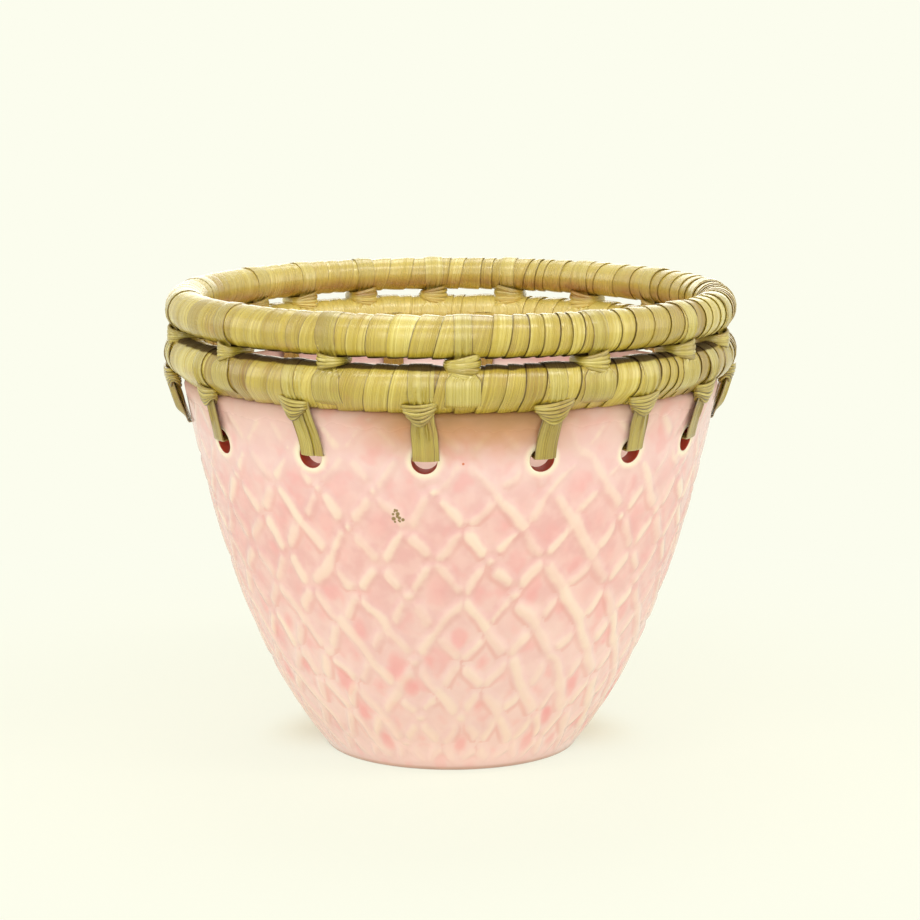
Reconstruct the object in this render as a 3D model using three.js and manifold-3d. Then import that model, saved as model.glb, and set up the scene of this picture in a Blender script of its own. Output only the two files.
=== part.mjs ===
// Planter pot: a tapered glazed pot with a woven relief, pierced below its rim, and two cane hoops
// wrapped in palm strip. The lower hoop is lashed to the pot through the holes, and the upper hoop
// is tied to the lower one. Millimetres, +Z up, front at -Y, origin at the middle of the foot.

import * as THREE from 'three';
import { mergeVertices } from 'three/addons/utils/BufferGeometryUtils.js';
import Module from 'manifold-3d';

const wasm = await Module();
wasm.setup();

// Pot: the crests of the relief follow one curve from the foot to the rim, drawn towards the belly point
const potHeight = 100.5;
const rimRadius = 71.1;
const footRadius = 34.2;
const bellyRadius = 59.1;
const bellyHeight = 30.7;
const wallThickness = 4;
const floorThickness = 5;
const floorFillet = 5;
const footEdge = 1;
const footRingWidth = 5;
const footRecess = 1.2;

// Relief: strands cross in diamonds, and each diamond's middle lies below their crests. The turn, in
// degrees, sets where the crossings lie.
const strandsEachWay = 28;
const diamondHeight = 19.6;
const reliefDepth = 1;
const reliefTurn = 3;

// Holes under the rim, square to the wall
const holeDiameter = 6.2;
const holeDrop = 12.7;

// Hoops: a cane bent to a ring, with a strip wound round it from the back, and standing out past the rim
const hoopOverhang = 4.9;
const hoopThickness = 10.56;
const stripThickness = 0.6;
const turnsPerHoop = 40;
const turnGap = 0.5;
const turnSteps = 8;
const windingStart = 180;

// Ties and lashings are strips looped round the hoops and bound at a neck. Each leaves its hoop so many
// degrees below the hoop's widest line.
const clearance = 0.3;
const strapClearance = 0.35;
const tieWidth = 8;
const tieWaist = 4.2;
const tieLeavesAt = 45;
const tieNeckWidth = 8.4;
const tieNeckHeight = 5.2;
const tieNeckProud = 0.6;
const holeClearance = 0.45;
const lashingNeckWidth = 7.6;
const lashingNeckDepth = 3.2;
const lashingNeckHeight = 4.6;
const lashingNeckDrop = 7.9;
const lashingFold = 1.6;
const lashingLeavesAt = 30;
const neckTurns = 3;
const neckGroove = 0.25;

// Places round the rim in degrees from the front towards +X, set by hand as the real ones were
const lashingPlaces = [-5, 19, 41, 61.5, 92, 118, 140, 172.5, 195, 224.5, 248, 274, 302.5, 329.8];
const tiePlaces = [2.4, 29.1, 53.4, 72, 99.5, 124.8, 146.6, 166.1, 184.4, 201.7, 217.8, 232.8,
  257.4, 282, 310.2, 336.3];

// Facets
const holeSides = 10;
const lipSteps = 4;
const insideRows = 5;
const coreSides = 6;
const coreSegments = 40;
const arcDegrees = 36;
const neckSides = 8;
const grooveSides = 12;

// What follows from the sizes. The hoops are made to the rim, so their size comes from it.
const hoopDiameter = 2 * (rimRadius + hoopOverhang);
const hoopRadius = hoopThickness / 2;
const ringRadius = hoopDiameter / 2 - hoopRadius;
const strapSpace = stripThickness + 2 * strapClearance;
const lowerHoopHeight = potHeight + strapSpace + hoopRadius;
const upperHoopHeight = lowerHoopHeight + hoopThickness + strapSpace;
const outlineTop = potHeight - wallThickness / 2;

const glaze = { color: 0xf3c3b8, roughness: 0.18, metalness: 0 };
const palm = { color: 0xc9b96a, roughness: 0.5, metalness: 0 };
const palmDark = { color: 0xb6a250, roughness: 0.55, metalness: 0 };
const cane = { color: 0xa98a54, roughness: 0.7, metalness: 0 };

const radians = THREE.MathUtils.degToRad;

function asSolid(geometry) {
  const bare = geometry.clone();
  for (const name of Object.keys(bare.attributes)) {
    if (name !== 'position') bare.deleteAttribute(name);
  }
  const merged = mergeVertices(bare, 1e-4);
  return new wasm.Manifold(new wasm.Mesh({
    numProp: 3,
    vertProperties: new Float32Array(merged.attributes.position.array),
    triVerts: new Uint32Array(merged.index.array),
  }));
}

function asGeometry(solid) {
  const { vertProperties, triVerts } = solid.getMesh();
  return indexedGeometry(vertProperties, triVerts);
}

function indexedGeometry(positions, indices) {
  const geometry = new THREE.BufferGeometry();
  geometry.setAttribute('position', new THREE.BufferAttribute(new Float32Array(positions), 3));
  geometry.setIndex(Array.from(indices));
  return geometry;
}

function piece(name, geometry, look) {
  const faceted = geometry.index ? geometry.toNonIndexed() : geometry;
  faceted.computeVertexNormals();
  const mesh = new THREE.Mesh(faceted, new THREE.MeshStandardMaterial(look));
  mesh.name = name;
  return mesh;
}

// A point at radius r and height z, turned round the pot's axis from the front towards +X
function around(r, z, angle) {
  return [r * Math.sin(angle), -r * Math.cos(angle), z];
}

// The pot's outline is a quadratic curve of (radius, height)
const outline = new THREE.QuadraticBezierCurve(
  new THREE.Vector2(footRadius, footEdge),
  new THREE.Vector2(bellyRadius, bellyHeight),
  new THREE.Vector2(rimRadius, outlineTop),
);

// Radius, height and outward normal of the outline at a share of its length
function wallAt(share) {
  const point = outline.getPointAt(share);
  const tangent = outline.getTangentAt(share);
  return { point, normal: new THREE.Vector2(tangent.y, -tangent.x) };
}

// The same at a height, found by halving
function wallAtHeight(height) {
  let low = 0;
  let high = 1;
  while (high - low > 1e-5) {
    const middle = (low + high) / 2;
    if (outline.getPointAt(middle).y < height) low = middle;
    else high = middle;
  }
  return wallAt(low);
}

// Rows of the relief: half a diamond each, so crests and hollows swap from row to row
function reliefRows() {
  const rows = Math.max(2, Math.round(outline.getLength() / (diamondHeight / 2)));
  return Array.from({ length: rows + 1 }, (_, row) => {
    const { point, normal } = wallAt(row / rows);
    const depth = row === 0 || row === rows ? 0 : reliefDepth;
    const hollow = point.clone().addScaledVector(normal, -depth);
    return { crest: point, hollow, parity: row % 2 };
  });
}

function plainRow(r, z) {
  const point = new THREE.Vector2(r, z);
  return { crest: point, hollow: point, parity: 0 };
}

function lipRows() {
  const lipRadius = wallThickness / 2;
  return Array.from({ length: lipSteps }, (_, step) => {
    const angle = Math.PI * (step + 1) / lipSteps;
    return plainRow(rimRadius - lipRadius + lipRadius * Math.cos(angle),
      outlineTop + lipRadius * Math.sin(angle));
  });
}

function insideWallRows() {
  const rows = [];
  for (let row = 1; row < insideRows; row += 1) {
    const { point, normal } = wallAt(1 - row / insideRows);
    const inside = point.clone().addScaledVector(normal, -wallThickness);
    if (inside.y > floorThickness + floorFillet) rows.push(plainRow(inside.x, inside.y));
  }
  const { point, normal } = wallAtHeight(floorThickness + floorFillet);
  const foot = point.clone().addScaledVector(normal, -wallThickness);
  rows.push(plainRow(foot.x - floorFillet, floorThickness));
  return rows;
}

function potShell() {
  const rows = [
    plainRow(footRadius - footEdge - footRingWidth - footRecess, footRecess),
    plainRow(footRadius - footEdge - footRingWidth, 0),
    plainRow(footRadius - footEdge, 0),
    ...reliefRows(),
    ...lipRows(),
    ...insideWallRows(),
  ];
  const columns = 2 * strandsEachWay;
  const positions = [];
  const indices = [];
  rows.forEach(({ crest, hollow, parity }) => {
    for (let column = 0; column < columns; column += 1) {
      const point = (column + parity) % 2 === 0 ? crest : hollow;
      const angle = 2 * Math.PI * column / columns + radians(reliefTurn);
      positions.push(...around(point.x, point.y, angle));
    }
  });
  for (let row = 0; row + 1 < rows.length; row += 1) {
    for (let column = 0; column < columns; column += 1) {
      const next = (column + 1) % columns;
      const a = row * columns + column;
      const b = row * columns + next;
      const c = (row + 1) * columns + next;
      const d = (row + 1) * columns + column;
      // Each square is folded from crest to crest, so that the strands run through as ridges
      if ((column + rows[row].parity) % 2 === 0) indices.push(a, b, c, a, c, d);
      else indices.push(a, b, d, b, c, d);
    }
  }
  const lastRow = (rows.length - 1) * columns;
  const under = positions.length / 3;
  positions.push(0, 0, footRecess, 0, 0, floorThickness);
  for (let column = 0; column < columns; column += 1) {
    const next = (column + 1) % columns;
    indices.push(under, next, column);
    indices.push(under + 1, lastRow + column, lastRow + next);
  }
  return indexedGeometry(positions, indices);
}

const hole = wallAtHeight(potHeight - holeDrop);

function makePot() {
  let pot = asSolid(potShell());
  const boreRadius = holeDiameter / 2 / Math.cos(Math.PI / holeSides);
  const bore = new THREE.CylinderGeometry(boreRadius, boreRadius, 3 * wallThickness, holeSides);
  bore.rotateX(-Math.atan2(hole.normal.y, hole.normal.x));
  const middle = hole.point.clone().addScaledVector(hole.normal, -wallThickness / 2);
  bore.translate(...around(middle.x, middle.y, 0));
  for (const place of lashingPlaces) {
    pot = pot.subtract(asSolid(bore.clone().rotateZ(radians(place))));
  }
  return piece('pot_body', asGeometry(pot), glaze);
}

// A strip wound round a hoop as one unbroken helix, from its start to just short of it again
function makeWinding(name, height, look) {
  const pitchAngle = 2 * Math.PI / turnsPerHoop;
  const innerReach = ringRadius - hoopRadius;
  const halfWidth = (pitchAngle - turnGap / innerReach) / 2;
  const steps = turnsPerHoop * turnSteps - 1;
  const positions = [];
  const indices = [];
  const section = [[hoopRadius, -1], [hoopRadius, 1], [hoopRadius - stripThickness, 1],
    [hoopRadius - stripThickness, -1]];
  for (let step = 0; step <= steps; step += 1) {
    const turn = step / turnSteps;
    for (const [radius, side] of section) {
      const tilt = 2 * Math.PI * turn;
      const r = ringRadius + radius * Math.cos(tilt);
      positions.push(...around(r, radius * Math.sin(tilt), turn * pitchAngle + side * halfWidth));
    }
    if (step === steps) break;
    for (let side = 0; side < 4; side += 1) {
      const a = step * 4 + side;
      const b = step * 4 + (side + 1) % 4;
      indices.push(a, b, a + 4, b, b + 4, a + 4);
    }
  }
  const last = steps * 4;
  indices.push(0, 2, 1, 0, 3, 2, last, last + 1, last + 2, last, last + 2, last + 3);
  console.log(`${name}: least gap between turns ${leastTurnGap(positions).toFixed(2)} mm`);
  const mesh = piece(name, indexedGeometry(positions, indices), look);
  mesh.position.z = height;
  mesh.rotation.z = radians(windingStart);
  return mesh;
}

// Least distance between the facing edges of neighbouring turns, measured on their points
function leastTurnGap(positions) {
  const corner = (step, side) => new THREE.Vector3().fromArray(positions, 3 * (step * 4 + side));
  const steps = positions.length / 12;
  let least = Infinity;
  for (let step = 0; step < steps; step += 1) {
    for (let away = turnSteps - 2; away <= turnSteps + 2; away += 1) {
      const other = step + away < steps ? step + away : (step + away) % (turnsPerHoop * turnSteps);
      if (other >= steps) continue;
      for (const side of [1, 2]) {
        for (const facing of [0, 3]) {
          least = Math.min(least, corner(step, side).distanceTo(corner(other, facing)));
        }
      }
    }
  }
  return least;
}

function makeCore(name, height) {
  const radius = (hoopRadius - stripThickness) * Math.cos(Math.PI / turnSteps) - clearance;
  const mesh = piece(name, new THREE.TorusGeometry(ringRadius, radius, coreSides, coreSegments), cane);
  mesh.position.z = height;
  return mesh;
}

// Points of an arc in the radial plane, pushed out so that the chords clear the radius. The count of
// chords is odd, so that a chord and not a corner lies at the arc's middle, where the room is least.
function arcPoints(centre, radius, from, to) {
  const steps = 2 * Math.floor((to - from) / 2 / arcDegrees) + 1;
  const reach = radius / Math.cos(radians((to - from) / steps / 2));
  return Array.from({ length: steps + 1 }, (_, step) => {
    const angle = radians(from + (to - from) * step / steps);
    return new THREE.Vector2(centre.x + reach * Math.cos(angle), centre.y + reach * Math.sin(angle));
  });
}

// A closed path of points moved sideways, outwards for a path that runs counter-clockwise
function offsetLoop(path, distance) {
  return path.map((point, index) => {
    const before = path[(index + path.length - 1) % path.length];
    const after = path[(index + 1) % path.length];
    const arriving = point.clone().sub(before).normalize();
    const leaving = after.clone().sub(point).normalize();
    const along = arriving.clone().add(leaving).normalize();
    const outwards = new THREE.Vector2(along.y, -along.x);
    return point.clone().addScaledVector(outwards, distance / along.dot(arriving));
  });
}

// A flat strip joined end to end along a path in the radial plane of the front
function stripLoop(path, width) {
  const shape = new THREE.Shape(offsetLoop(path, stripThickness / 2));
  shape.holes.push(new THREE.Path(offsetLoop(path, -stripThickness / 2)));
  const loop = new THREE.ExtrudeGeometry(shape, { depth: width, bevelEnabled: false });
  loop.translate(0, 0, -width / 2);
  const intoRadialPlane = new THREE.Matrix4().makeBasis(
    new THREE.Vector3(0, -1, 0), new THREE.Vector3(0, 0, 1), new THREE.Vector3(-1, 0, 0));
  return loop.applyMatrix4(intoRadialPlane);
}

// Turns that bind a strip: a barrel with one swelling for each turn, upright at the origin, that is
// as wide and deep as given across its flats
function boundNeck(width, depth, height) {
  const profile = [new THREE.Vector2(0, -height / 2)];
  const rows = 2 * neckTurns;
  for (let row = 0; row <= rows; row += 1) {
    const swelling = row % 2 === 0 ? 1 - 2 * neckGroove / depth : 1;
    profile.push(new THREE.Vector2(swelling, height * (row / rows - 0.5)));
  }
  profile.push(new THREE.Vector2(0, height / 2));
  const neck = new THREE.LatheGeometry(profile, neckSides, Math.PI / neckSides);
  neck.rotateX(Math.PI / 2);
  const acrossFlats = 2 * Math.cos(Math.PI / neckSides);
  return neck.scale(width / acrossFlats, depth / acrossFlats, 1);
}

// Radius of a flat strip's middle where it loops round a hoop. The hoop curves away inside the strip's
// width, so the strip stands off by that much as well.
function loopReach(width) {
  const curve = width ** 2 / 8 / (ringRadius - hoopRadius);
  return hoopRadius + curve + clearance + stripThickness / 2;
}

// A strip gathered to its waist at one height, and full width from a hoop's radius away
function fanned(loop, height) {
  const { position } = loop.attributes;
  for (let index = 0; index < position.count; index += 1) {
    const away = Math.abs(position.getZ(index) - height) / hoopRadius;
    const width = THREE.MathUtils.lerp(tieWaist, tieWidth, THREE.MathUtils.clamp(away - 0.5, 0, 1));
    position.setX(index, Math.sign(position.getX(index)) * width / 2);
  }
  return loop;
}

// A tie holds both hoops in one loop, drawn in between them by turns that fill the groove
function tieGeometry() {
  const loopRadius = loopReach(tieWidth);
  const upper = new THREE.Vector2(ringRadius, upperHoopHeight);
  const lower = new THREE.Vector2(ringRadius, lowerHoopHeight);
  const path = [
    ...arcPoints(upper, loopRadius, -tieLeavesAt, 180 + tieLeavesAt),
    ...arcPoints(lower, loopRadius, 180 - tieLeavesAt, 360 + tieLeavesAt),
  ];
  const middle = (upperHoopHeight + lowerHoopHeight) / 2;
  const loop = fanned(stripLoop(path, tieWidth), middle);
  const neck = boundNeck(tieNeckWidth, hoopThickness + 2 * tieNeckProud, tieNeckHeight);
  neck.translate(...around(ringRadius, middle, 0));
  let binding = asSolid(neck);
  const room = (loopReach(tieNeckWidth) - stripThickness / 2) / Math.cos(Math.PI / grooveSides);
  for (const height of [lowerHoopHeight, upperHoopHeight]) {
    const hoop = new THREE.CylinderGeometry(room, room, 3 * tieNeckWidth, grooveSides);
    hoop.rotateZ(Math.PI / 2);
    hoop.translate(...around(ringRadius, height, 0));
    binding = binding.subtract(asSolid(hoop));
  }
  return asGeometry(asSolid(loop).add(binding));
}

// A lashing runs over the lower hoop, down both sides of the wall and through a hole
function lashingGeometry() {
  const width = 2 * Math.sqrt((holeDiameter / 2 - holeClearance) ** 2 - (stripThickness / 2) ** 2);
  const loopRadius = loopReach(width);
  const centre = new THREE.Vector2(ringRadius, lowerHoopHeight);
  const outerFold = hole.point.clone().addScaledVector(hole.normal, lashingFold);
  const innerFold = hole.point.clone().addScaledVector(hole.normal, -wallThickness - lashingFold);
  const overHoop = arcPoints(centre, loopRadius, -lashingLeavesAt, 180 + lashingLeavesAt);
  const path = [outerFold, ...overHoop, innerFold];
  const strand = overHoop[0].clone().sub(outerFold).normalize();
  const neck = boundNeck(lashingNeckWidth, lashingNeckDepth, lashingNeckHeight);
  neck.rotateX(Math.atan2(strand.x, strand.y));
  const rise = (lowerHoopHeight - lashingNeckDrop - outerFold.y) / strand.y;
  const seat = outerFold.clone().addScaledVector(strand, rise);
  neck.translate(...around(seat.x, seat.y, 0));
  return asGeometry(asSolid(stripLoop(path, width)).add(asSolid(neck)));
}

// Copies of one piece, each turned to its place round the rim
function placedRound(name, geometry, places, look) {
  return places.map((place, index) => {
    const mesh = piece(`${name}_${String(index + 1).padStart(2, '0')}`, geometry, look);
    mesh.rotation.z = radians(place);
    return mesh;
  });
}

const planter = new THREE.Group();
planter.add(makePot());
planter.add(makeCore('lower_hoop_core', lowerHoopHeight));
planter.add(makeWinding('lower_hoop_winding', lowerHoopHeight, palm));
planter.add(makeCore('upper_hoop_core', upperHoopHeight));
planter.add(makeWinding('upper_hoop_winding', upperHoopHeight, palm));
planter.add(...placedRound('hoop_tie', tieGeometry(), tiePlaces, palmDark));
planter.add(...placedRound('lashing', lashingGeometry(), lashingPlaces, palmDark));

export default planter;
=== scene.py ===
# %% [markdown]
# # A planter pot with a woven rim
# The real object is a slip-cast pot with a pink gloss glaze and a raised lattice all over it. Holes run
# round it below the rim, and two cane hoops, wrapped in strips of palm leaf, are tied on top. The solids
# of the frame already have each piece at its size and place. This lesson gives the pieces their looks:
# it spins a finer wall for the pot, winds real leaf strips round the hoops and ties every knot again.

import bisect
import functools
import itertools
import math
import random

import bmesh
import bpy
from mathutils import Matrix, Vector, noise


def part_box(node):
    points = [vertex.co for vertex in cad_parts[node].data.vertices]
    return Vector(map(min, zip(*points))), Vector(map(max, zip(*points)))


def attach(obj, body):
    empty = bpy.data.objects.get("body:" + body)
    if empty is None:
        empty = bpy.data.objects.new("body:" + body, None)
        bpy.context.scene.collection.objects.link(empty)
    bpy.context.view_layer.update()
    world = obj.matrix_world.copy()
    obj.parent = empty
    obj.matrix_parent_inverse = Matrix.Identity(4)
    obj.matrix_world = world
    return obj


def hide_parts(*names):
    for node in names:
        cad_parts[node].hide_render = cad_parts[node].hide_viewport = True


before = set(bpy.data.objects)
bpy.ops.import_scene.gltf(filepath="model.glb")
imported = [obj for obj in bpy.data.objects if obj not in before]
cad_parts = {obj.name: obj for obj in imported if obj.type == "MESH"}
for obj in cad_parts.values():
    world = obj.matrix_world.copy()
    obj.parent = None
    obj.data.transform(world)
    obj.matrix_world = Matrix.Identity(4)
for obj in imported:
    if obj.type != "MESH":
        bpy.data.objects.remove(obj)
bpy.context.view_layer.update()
MM = 0.001
print("nodes in the frame:", len(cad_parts))

# %% [markdown]
# ## The camera
# A camera is a lens and a place. A long lens a good way off shows a small pot as the eye remembers it,
# with little difference between the near and the far rim. The camera comes first, because every later
# choice is judged through it. The object stands a little left of the middle, so the camera is moved to
# the right by as much and isn't turned.

# %% Set up the camera
camera_data = bpy.data.cameras.new("camera")
camera_data.sensor_width = 36
camera_data.lens = 113.5
camera_data.clip_start = 0.01
camera = bpy.data.objects.new("camera", camera_data)
camera.location = (2.4 * MM, -769 * MM, 207.8 * MM)
camera.rotation_euler = (math.radians(80.326), 0, 0)
scene = bpy.context.scene
scene.collection.objects.link(camera)
scene.camera = camera
scene.view_settings.view_transform = "Standard"
print("camera stands", round(camera.location.length, 3), "m away")

# %% [markdown]
# ## Places round the pot
# Everything here goes round one upright axis, so a place is best said as a radius, a height and an
# angle. The angle starts at the front and grows to the right. Sizes that the frame already has, such as
# the hoops' and the angle of each tie, are read from it and not typed again.

# %% Read the hoops and the ties from the frame
def around(radius, height, angle):
    """The point at a radius and height, turned from the front towards the right."""
    return Vector((radius * math.sin(angle), -radius * math.cos(angle), height))


def angle_of(point):
    """How far a point is turned from the front."""
    return math.atan2(point.x, -point.y)


def middle_angle(node):
    """The angle at which a node of the frame stands."""
    low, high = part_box(node)
    return angle_of((low + high) / 2)


class Hoop:
    """A ring of the frame: the height and radius of its middle line, and the radius of its tube. Its top
    may be flat, and it may settle on what it lies on. At the back it lies higher and may be slimmer."""

    FLAT_WIDTH = 0.55
    SETTLED_AT = math.radians(-95)
    SETTLED_WIDTH = 0.38

    def __init__(self, node, flat=0, settled=0, raised=0, slimmer=0):
        low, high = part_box(node)
        self.tube = (high.z - low.z) / 2
        self.height = (high.z + low.z) / 2
        self.radius = high.x - self.tube
        self.flat, self.settled = flat * MM, settled * MM
        self.raised, self.slimmer = raised * MM, slimmer * MM

    def height_at(self, angle):
        return self.height + self.raised * far_share(angle)

    def tube_at(self, angle):
        return self.tube - self.slimmer * far_share(angle)

    def pressed(self, tilt):
        """How far the tube's surface is pressed in, at a tilt round the tube."""
        return self.flat * bell(tilt, math.pi / 2, self.FLAT_WIDTH)

    def sunk(self, tilt):
        """How far it bulges down behind its lowest point, where it settles."""
        return self.settled * bell(tilt, self.SETTLED_AT, self.SETTLED_WIDTH)


def bell(angle, middle, width):
    """1 at the middle angle, and next to nothing at twice the width away from it."""
    return math.exp(-(math.remainder(angle - middle, 2 * math.pi) / width) ** 2)


def far_share(angle):
    """0 at the front and 1 at the back, and a quarter at the sides."""
    return ((1 - math.cos(angle)) / 2) ** 2


lower_hoop = Hoop("lower_hoop_winding", flat=0.30, settled=1.7, raised=1.3)
upper_hoop = Hoop("upper_hoop_winding", raised=0.8, slimmer=0.8)
tie_nodes = sorted(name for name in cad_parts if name.startswith("hoop_tie"))
lashing_nodes = sorted(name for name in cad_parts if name.startswith("lashing"))
print("hoop radius", round(lower_hoop.radius / MM, 2), "mm,", len(tie_nodes), "ties,",
      len(lashing_nodes), "lashings")

# %% [markdown]
# ## Colours
# Colours are easiest to compare with a photo as numbers from 0 to 255, but a shader counts light. The
# helper turns the one into the other, by the curve that screens use.

# %% Colours as a screen counts them
def rgb(red, green, blue):
    """A screen colour from 0 to 255, as light."""
    def light(value):
        share = value / 255
        return share / 12.92 if share <= 0.04045 else ((share + 0.055) / 1.055) ** 2.4
    return (light(red), light(green), light(blue), 1)


print("middle grey as light:", round(rgb(128, 128, 128)[0], 3))

# %% [markdown]
# ## Shader maths in plain Python
# A material is a graph of nodes. Wiring it by hand takes a line for each link, and the sum that it
# works out is lost among them. The small class below wraps an output socket, so that `1 - mask` or
# `veins * 0.4` adds the Math node by itself, and `height.step(low, high)` the node for a soft step. All
# other nodes come from one method of `Finish`. Colours go on in layers, as a painter lays them on.

# %% A wire that can be added and multiplied
class Wire:
    """An output socket that Python's operators work on."""

    def __init__(self, finish, socket):
        self.finish = finish
        self.socket = socket

    def math(self, operation, first, second):
        return self.finish.node("Math", {0: first, 1: second}, operation=operation)

    def __add__(self, other):
        return self.math("ADD", self, other)

    def __sub__(self, other):
        return self.math("SUBTRACT", self, other)

    def __rsub__(self, other):
        return self.math("SUBTRACT", other, self)

    def __mul__(self, other):
        return self.math("MULTIPLY", self, other)

    __radd__ = __add__
    __rmul__ = __mul__

    def step(self, low, high):
        """A soft step from 0 at low to 1 at high."""
        return self.finish.node("MapRange", {0: self, 1: low, 2: high}, interpolation_type="SMOOTHSTEP")

    def fall(self, low, high):
        """A soft step from 1 at low to 0 at high."""
        return 1 - self.step(low, high)

    def parts(self):
        """The three numbers of a vector, each on a wire of its own."""
        split = self.finish.node("SeparateXYZ", {0: self})
        return [Wire(self.finish, socket) for socket in split.socket.node.outputs]

    def distance(self, point=(0, 0, 0)):
        """How far a vector lies from a point."""
        return self.finish.node("VectorMath", {0: self, 1: point}, output="Value", operation="DISTANCE")


print("a wire can:", ", ".join(name for name in vars(Wire) if name.islower() and name[0] != "_"))

# %% [markdown]
# A finish is one material with one Principled shader. Its `node` adds a node with settings and sockets
# in one line, and its other methods are the few nodes that every finish here is mixed from.

# %% A finish that nodes are added to
class Finish:
    """A material with one Principled shader, and the few nodes that a finish is mixed from."""

    def __init__(self, name, **fixed):
        self.material = bpy.data.materials.new(name)
        self.material.use_nodes = True
        self.tree = self.material.node_tree
        self.shader = self.tree.nodes["Principled BSDF"]
        for socket, value in fixed.items():
            self.shader.inputs[socket.replace("_", " ")].default_value = value

    def node(self, kind, sockets=None, output=0, stops=None, **settings):
        """Adds a node: its settings first, then the values or wires of its sockets."""
        made = self.tree.nodes.new("ShaderNode" + kind)
        for name, value in settings.items():
            setattr(made, name, value)
        if stops:
            ramp = made.color_ramp.elements
            while len(ramp) < len(stops):
                ramp.new(1)
            for element, (place, colour) in zip(ramp, stops):
                element.position = place
                element.color = colour
        for name, value in (sockets or {}).items():
            self.feed(made.inputs[name], value)
        return Wire(self, made.outputs[output])

    def feed(self, socket, value):
        """Links a wire to a socket, or sets the socket to a value."""
        if isinstance(value, Wire):
            self.tree.links.new(value.socket, socket)
        else:
            socket.default_value = value

    def attribute(self, name, output="Fac"):
        return self.node("Attribute", output=output, attribute_name=name)

    def join(self, x, y, z):
        return self.node("CombineXYZ", {0: x, 1: y, 2: z})

    def place(self):
        """The point on the piece, in metres."""
        return self.node("TexCoord", output="Object")

    def noise(self, vector, scale=1.0, detail=2.0, roughness=0.5):
        return self.node("TexNoise", {"Vector": vector, "Scale": scale, "Detail": detail,
                                      "Roughness": roughness})

    def layered(self, colour, *layers):
        """The colour under layers, each of them a screen colour and its share."""
        for *tint, share in layers:
            sockets = {0: share, 6: colour, 7: rgb(*tint)}
            colour = self.node("Mix", sockets, output=2, data_type="RGBA")
        return colour

    def bump(self, height, distance, strength=1.0):
        return self.node("Bump", {"Height": height, "Distance": distance, "Strength": strength})

    def paint(self, **sockets):
        """Feeds the shader's own sockets."""
        for name, value in sockets.items():
            self.feed(self.shader.inputs[name.replace("_", " ")], value)
        return self.material


print("a finish can:", ", ".join(name for name in vars(Finish) if name.islower() and name[0] != "_"))

# %% [markdown]
# ## The finish of palm leaf
# A palm leaf is a bundle of stiff veins with softer leaf between them. Dried, it is straw yellow to
# tan, with paler and browner stretches, and it shines a little along the veins. The pattern follows
# the strip and not the room, so the strips carry their own measures on each point: `strip` says how
# far across and along the leaf the point lies, in millimetres, and which leaf it is. `edges` says how
# far it lies from the leaf's edge and from the next turn that covers it, with a tone for each turn.

# %% Mix the palm leaf
HOOP_GAP_HEIGHT = (lower_hoop.height + upper_hoop.height) / 2
HOOP_GAP_RISE = (lower_hoop.raised + upper_hoop.raised + upper_hoop.slimmer) / 2


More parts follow.
